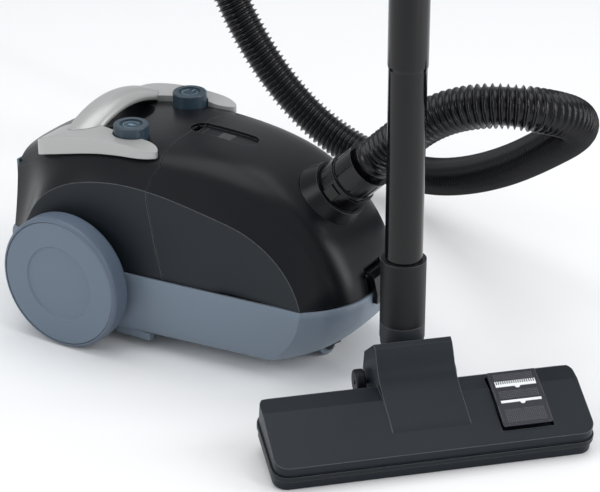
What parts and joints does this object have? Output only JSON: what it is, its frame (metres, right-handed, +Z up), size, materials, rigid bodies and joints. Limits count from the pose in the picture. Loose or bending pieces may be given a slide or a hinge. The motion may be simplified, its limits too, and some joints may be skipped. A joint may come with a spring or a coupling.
{
  "type": "vacuum cleaner",
  "caption": "Wheeled canister vacuum cleaner with opening lid, carry handle, flexible hose, two-piece wand, bent handle tube and pedal floor nozzle.",
  "frame": {"origin": "on the floor under the middle of the object, measured without the hose", "axes": "+X from the rear wheels towards the nose, +Y to the left of the canister, +Z up along the wand"},
  "size_m": [0.7182, 0.6089, 1.043],
  "materials": {
    "shell_black": "satin black moulding",
    "panel_charcoal": "matte charcoal moulding",
    "base_bluegrey": "satin blue-grey moulding",
    "wheel_bluegrey": "satin blue-grey moulding",
    "tyre_rubber": "matte",
    "knob_slate": "satin slate blue",
    "trim_silver": "satin silver",
    "wand_black": "gloss black",
    "hose_black": "gloss black",
    "collar_black": "matte black",
    "nozzle_dark": "satin dark blue-black",
    "elbow_grey": "satin grey",
    "pedal_navy": "fine textured",
    "bumper_rubber": "matte",
    "bristle": "dense bristle",
    "grille_teal": "satin teal grey",
    "lens_smoke": "smoked",
    "flag_green": "matte green",
    "inner_black": "matte",
    "steel": "plain",
    "motor_metal": "cast",
    "rotor_metal": "machined",
    "reel_plastic": "matte",
    "seal_rubber": "matte",
    "bag_paper": "soft filter paper",
    "filter_foam": "fibre",
    "board_green": "board",
    "card_plate": "card"
  },
  "bodies": {
    "chassis": {"bag_holder": "inner_black", "bag_plate": "card_plate", "base_shell": "base_bluegrey", "bulkhead": "inner_black", "carry_handle": "trim_silver", "case_screws": "steel", "circuit_board": "board_green", "dust_bag": "bag_paper", "exhaust_filter": "filter_foam", "handle_tube": "wand_black", "hose": "hose_black", "motor_filter": "filter_foam", "motor_housing": "motor_metal", "motor_mounts": "inner_black", "nozzle_collar": "collar_black", "power_button_spring": "steel", "power_switch": "inner_black", "rear_cover": "shell_black", "rear_side_panel_left": "panel_charcoal", "rear_side_panel_right": "panel_charcoal", "reel_bracket": "inner_black", "rewind_button_spring": "steel", "trim_wing_left": "trim_silver", "trim_wing_right": "trim_silver", "wand_lower": "wand_black", "wand_upper": "wand_black", "wheel_axles": "steel"},
    "lid": {"lid_shell": "shell_black", "lid_side_panel_left": "panel_charcoal", "lid_side_panel_right": "panel_charcoal", "inlet_collar": "panel_charcoal", "connector_body": "wand_black", "inlet_seal": "seal_rubber", "indicator_window": "lens_smoke"},
    "latch": {"lid_latch": "wand_black"},
    "flag": {"indicator_flag": "flag_green"},
    "clip_left": {"connector_clip_left": "wand_black"},
    "clip_right": {"connector_clip_right": "wand_black"},
    "cuff_at_inlet": {"hose_cuff": "wand_black"},
    "cuff_at_handle": {"handle_cuff": "wand_black"},
    "left_wheel": {"rear_wheel_left": "wheel_bluegrey", "tyre_left": "tyre_rubber"},
    "right_wheel": {"rear_wheel_right": "wheel_bluegrey", "tyre_right": "tyre_rubber"},
    "caster_swivel_body": {"caster_fork": "inner_black"},
    "caster_roller": {"caster_wheel": "wheel_bluegrey"},
    "power_knob": {"power_button": "knob_slate"},
    "rewind_knob": {"rewind_button": "knob_slate"},
    "grille_door": {"exhaust_grille": "grille_teal"},
    "rotor": {"fan_rotor": "rotor_metal"},
    "reel": {"cord_reel": "reel_plastic"},
    "nozzle_neck": {"elbow": "elbow_grey"},
    "nozzle_head": {"nozzle_shell": "nozzle_dark", "sole_plate": "nozzle_dark", "nozzle_bumper": "bumper_rubber"},
    "head_wheel_left": {"nozzle_wheel_left": "wheel_bluegrey"},
    "head_wheel_right": {"nozzle_wheel_right": "wheel_bluegrey"},
    "pedal_rocker": {"pedal": "pedal_navy"},
    "brushes": {"brush_strips": "bristle"},
    "suction_slide": {"suction_slider": "collar_black"}
  },
  "joints": [
    {"name": "left_wheel_spin", "type": "hinge", "parent": "chassis", "child": "left_wheel", "pos_m": [-0.20966, 0.17848, 0.0675], "axis": [0, 1, 0], "continuous": true},
    {"name": "right_wheel_spin", "type": "hinge", "parent": "chassis", "child": "right_wheel", "pos_m": [-0.20966, -0.06152, 0.0675], "axis": [0, 1, 0], "continuous": true},
    {"name": "caster_swivel", "type": "hinge", "parent": "chassis", "child": "caster_swivel_body", "pos_m": [0.02033, 0.05848, 0.025], "axis": [0, 0, 1], "continuous": true},
    {"name": "caster_roll", "type": "hinge", "parent": "caster_swivel_body", "child": "caster_roller", "pos_m": [0.01801, 0.04979, 0.011], "axis": [0.9659, -0.2588, 0], "continuous": true},
    {"name": "lid_hinge", "type": "hinge", "parent": "chassis", "child": "lid", "pos_m": [-0.15466, 0.05848, 0.191], "axis": [0, -1, 0], "range_deg": [0, 55], "deforming": ["hose"]},
    {"name": "lid_latch_pivot", "type": "hinge", "parent": "lid", "child": "latch", "pos_m": [0.06784, 0.05848, 0.099], "axis": [0, -1, 0], "range_deg": [0, 20], "stiffness_Nm_per_rad": 0.1, "springref_deg": -17.19},
    {"name": "indicator_slide", "type": "slide", "parent": "lid", "child": "flag", "axis": [1, 0, 0], "range_m": [0, 0.007], "stiffness_N_per_m": 4, "springref_m": -0.004},
    {"name": "clip_left_press", "type": "slide", "parent": "lid", "child": "clip_left", "axis": [0, -1, 0], "range_m": [0, 0.0014], "stiffness_N_per_m": 400, "springref_m": -0.002},
    {"name": "clip_right_press", "type": "slide", "parent": "lid", "child": "clip_right", "axis": [0, 1, 0], "range_m": [0, 0.0014], "stiffness_N_per_m": 400, "springref_m": -0.002},
    {"name": "inlet_cuff_turn", "type": "hinge", "parent": "lid", "child": "cuff_at_inlet", "pos_m": [0.02794, 0.05848, 0.174], "axis": [0.7071, 0, 0.7071], "continuous": true},
    {"name": "handle_cuff_turn", "type": "hinge", "parent": "chassis", "child": "cuff_at_handle", "pos_m": [0.01221, 0.11676, 0.98331], "axis": [-0.6375, 0.6442, 0.4226], "continuous": true},
    {"name": "power_button_press", "type": "slide", "parent": "chassis", "child": "power_knob", "axis": [0, 0, -1], "range_m": [0, 0.004], "stiffness_N_per_m": 400, "springref_m": -0.004, "deforming": ["power_button_spring"]},
    {"name": "rewind_button_press", "type": "slide", "parent": "chassis", "child": "rewind_knob", "axis": [0, 0, -1], "range_m": [0, 0.004], "stiffness_N_per_m": 400, "springref_m": -0.004, "deforming": ["rewind_button_spring"]},
    {"name": "grille_hinge", "type": "hinge", "parent": "chassis", "child": "grille_door", "pos_m": [-0.31627, 0.05848, 0.087], "axis": [0, -1, 0], "range_deg": [0, 80]},
    {"name": "fan_spin", "type": "hinge", "parent": "chassis", "child": "rotor", "pos_m": [-0.20966, 0.07848, 0.098], "axis": [1, 0, 0], "continuous": true},
    {"name": "reel_spin", "type": "hinge", "parent": "chassis", "child": "reel", "pos_m": [-0.22167, -0.00452, 0.104], "axis": [0, 1, 0], "continuous": true},
    {"name": "elbow_swivel", "type": "hinge", "parent": "chassis", "child": "nozzle_neck", "pos_m": [0.13164, -0.00392, 0.09], "axis": [0, 0, -1], "range_deg": [-60, 50]},
    {"name": "nozzle_tilt", "type": "hinge", "parent": "nozzle_neck", "child": "nozzle_head", "pos_m": [0.14027, -0.01264, 0.04078], "axis": [0.7108, 0.7034, 0], "range_deg": [0, 50]},
    {"name": "head_wheel_left_spin", "type": "hinge", "parent": "nozzle_head", "child": "head_wheel_left", "pos_m": [0.16939, 0.01892, 0.03661], "axis": [0.7108, 0.7034, 0], "continuous": true},
    {"name": "head_wheel_right_spin", "type": "hinge", "parent": "nozzle_head", "child": "head_wheel_right", "pos_m": [0.1084, -0.04143, 0.03661], "axis": [0.7108, 0.7034, 0], "continuous": true},
    {"name": "pedal_rock", "type": "hinge", "parent": "nozzle_head", "child": "pedal_rocker", "pos_m": [0.25152, -0.00281, 0.03881], "axis": [0.7108, 0.7034, 0], "range_deg": [0, 8]},
    {"name": "brush_drop", "type": "slide", "parent": "nozzle_head", "child": "brushes", "axis": [-0.1522, 0.1538, -0.9763], "range_m": [0, 0.005]},
    {"name": "suction_slide_move", "type": "slide", "parent": "chassis", "child": "suction_slide", "axis": [-0.6375, 0.6442, 0.4226], "range_m": [0, 0.012]}
  ],
  "couplings": [
    {"joint": "brush_drop", "follows": "pedal_rock", "m_per_rad": 0.03581}
  ]
}
